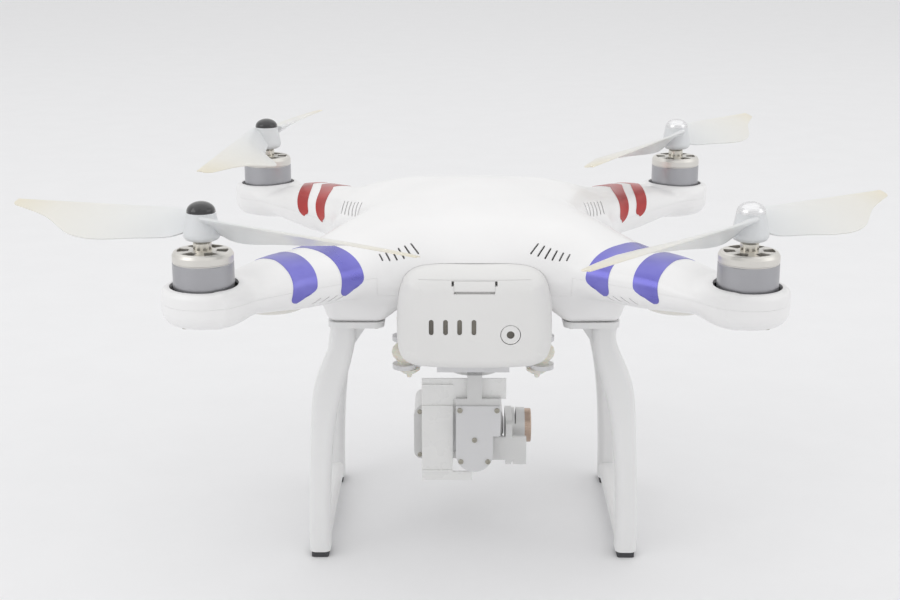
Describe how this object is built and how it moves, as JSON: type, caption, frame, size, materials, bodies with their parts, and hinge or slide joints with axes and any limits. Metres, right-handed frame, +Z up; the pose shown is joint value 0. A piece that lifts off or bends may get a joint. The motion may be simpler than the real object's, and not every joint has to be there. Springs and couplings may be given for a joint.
{
  "type": "quadcopter drone",
  "caption": "Quadcopter drone with a moulded four-arm hull, landing skids, slide-in battery, spinning two-blade propellers and a three-axis gimbal camera.",
  "frame": {"origin": "on the ground, midway between the four foot pads and the four motor axes", "axes": "+Z up, +Y towards the front, where the camera looks, +X to the right"},
  "size_m": [0.4298, 0.4445, 0.2034],
  "materials": {
    "hull_white": "smooth moulded ABS",
    "cap_white": "smooth moulded ABS",
    "skid_white": "fine matt moulded nylon",
    "prop_plastic": "translucent glass-filled nylon, yellowed at the tips",
    "light_lens": "translucent",
    "stripe_blue": "metallic foil",
    "stripe_red": "metallic foil",
    "foot_rubber": "matt",
    "damper_rubber": "soft silicone",
    "bell_aluminium": "turned and anodised",
    "shaft_steel": "ground",
    "cap_black": "polished",
    "cap_silver": "satin anodised",
    "screw_steel": "plated",
    "stator_steel": "lacquered laminations",
    "copper": "enamelled copper wire",
    "board_green": "solder mask",
    "cell_foil": "pouch foil",
    "dark_plastic": "moulded",
    "lamp_smoke": "smoked diffuser",
    "gimbal_silver": "satin silver",
    "plate_grey": "satin grey",
    "guard_clear": "frosted clear",
    "motor_bronze": "bronze anodised",
    "lens_glass": "coated"
  },
  "bodies": {
    "airframe": {"top_shell": "hull_white", "bottom_shell": "hull_white", "hull_screws": "screw_steel", "arm_light_lenses": "light_lens", "rear_arm_stripes": "stripe_blue", "front_arm_stripes": "stripe_red", "left_skid": "skid_white", "right_skid": "skid_white", "foot_pads": "foot_rubber", "skid_screws": "screw_steel", "battery_bay": "dark_plastic", "main_board": "board_green", "gps_module": "board_green", "battery_terminal": "dark_plastic", "motor_bases": "bell_aluminium", "motor_stators": "stator_steel", "motor_windings": "copper", "gimbal_upper_plate": "plate_grey", "gimbal_dampers": "damper_rubber", "gimbal_lower_plate": "plate_grey", "anti_drop_pins": "damper_rubber", "yaw_motor": "gimbal_silver"},
    "battery": {"battery_case": "dark_plastic", "battery_rear_cap": "cap_white", "battery_cells": "cell_foil", "battery_board": "board_green", "battery_led_lenses": "lamp_smoke"},
    "power_button": {"power_button": "cap_white", "power_button_lamp": "lamp_smoke"},
    "battery_latch": {"battery_latch": "cap_white"},
    "yaw_arm": {"yaw_arm": "gimbal_silver", "roll_motor": "gimbal_silver", "roll_motor_cover": "plate_grey", "roll_cover_screws": "screw_steel", "gimbal_guard": "guard_clear"},
    "roll_arm": {"roll_arm": "gimbal_silver", "pitch_motor": "gimbal_silver", "pitch_motor_cap": "motor_bronze"},
    "camera": {"camera_case": "gimbal_silver", "camera_back_plate": "plate_grey", "camera_screws": "screw_steel", "camera_board": "board_green", "lens_barrel": "dark_plastic", "lens_glass": "lens_glass"},
    "rear_left_rotor": {"rear_left_bell": "bell_aluminium", "rear_left_shaft": "shaft_steel", "rear_left_prop_cap": "cap_black", "rear_left_propeller": "prop_plastic"},
    "rear_right_rotor": {"rear_right_bell": "bell_aluminium", "rear_right_shaft": "shaft_steel", "rear_right_prop_cap": "cap_silver", "rear_right_propeller": "prop_plastic"},
    "front_left_rotor": {"front_left_bell": "bell_aluminium", "front_left_shaft": "shaft_steel", "front_left_prop_cap": "cap_black", "front_left_propeller": "prop_plastic"},
    "front_right_rotor": {"front_right_bell": "bell_aluminium", "front_right_shaft": "shaft_steel", "front_right_prop_cap": "cap_silver", "front_right_propeller": "prop_plastic"}
  },
  "joints": [
    {"name": "rear_left_spin", "type": "hinge", "parent": "airframe", "child": "rear_left_rotor", "pos_m": [-0.12375, -0.12375, 0.17], "axis": [0, 0, 1], "continuous": true},
    {"name": "rear_right_spin", "type": "hinge", "parent": "airframe", "child": "rear_right_rotor", "pos_m": [0.12375, -0.12375, 0.17], "axis": [0, 0, 1], "continuous": true},
    {"name": "front_left_spin", "type": "hinge", "parent": "airframe", "child": "front_left_rotor", "pos_m": [-0.12375, 0.12375, 0.17], "axis": [0, 0, 1], "continuous": true},
    {"name": "front_right_spin", "type": "hinge", "parent": "airframe", "child": "front_right_rotor", "pos_m": [0.12375, 0.12375, 0.17], "axis": [0, 0, 1], "continuous": true},
    {"name": "battery_slide", "type": "slide", "parent": "airframe", "child": "battery", "axis": [0, -1, 0], "range_m": [0, 0.125]},
    {"name": "power_button_press", "type": "slide", "parent": "battery", "child": "power_button", "axis": [0, 1, 0], "range_m": [0, 0.0012], "stiffness_N_per_m": 600},
    {"name": "battery_latch_press", "type": "slide", "parent": "battery", "child": "battery_latch", "axis": [0, 0, -1], "range_m": [0, 0.0012], "stiffness_N_per_m": 1500},
    {"name": "gimbal_yaw", "type": "hinge", "parent": "airframe", "child": "yaw_arm", "pos_m": [0.001, 0.002, 0.09], "axis": [0, 0, 1], "range_deg": [-30, 30]},
    {"name": "gimbal_roll", "type": "hinge", "parent": "yaw_arm", "child": "roll_arm", "pos_m": [0.001, -0.0144, 0.051], "axis": [0, 1, 0], "range_deg": [-20, 20]},
    {"name": "gimbal_pitch", "type": "hinge", "parent": "roll_arm", "child": "camera", "pos_m": [0.017, 0.011, 0.0486], "axis": [1, 0, 0], "range_deg": [-90, 30]}
  ]
}
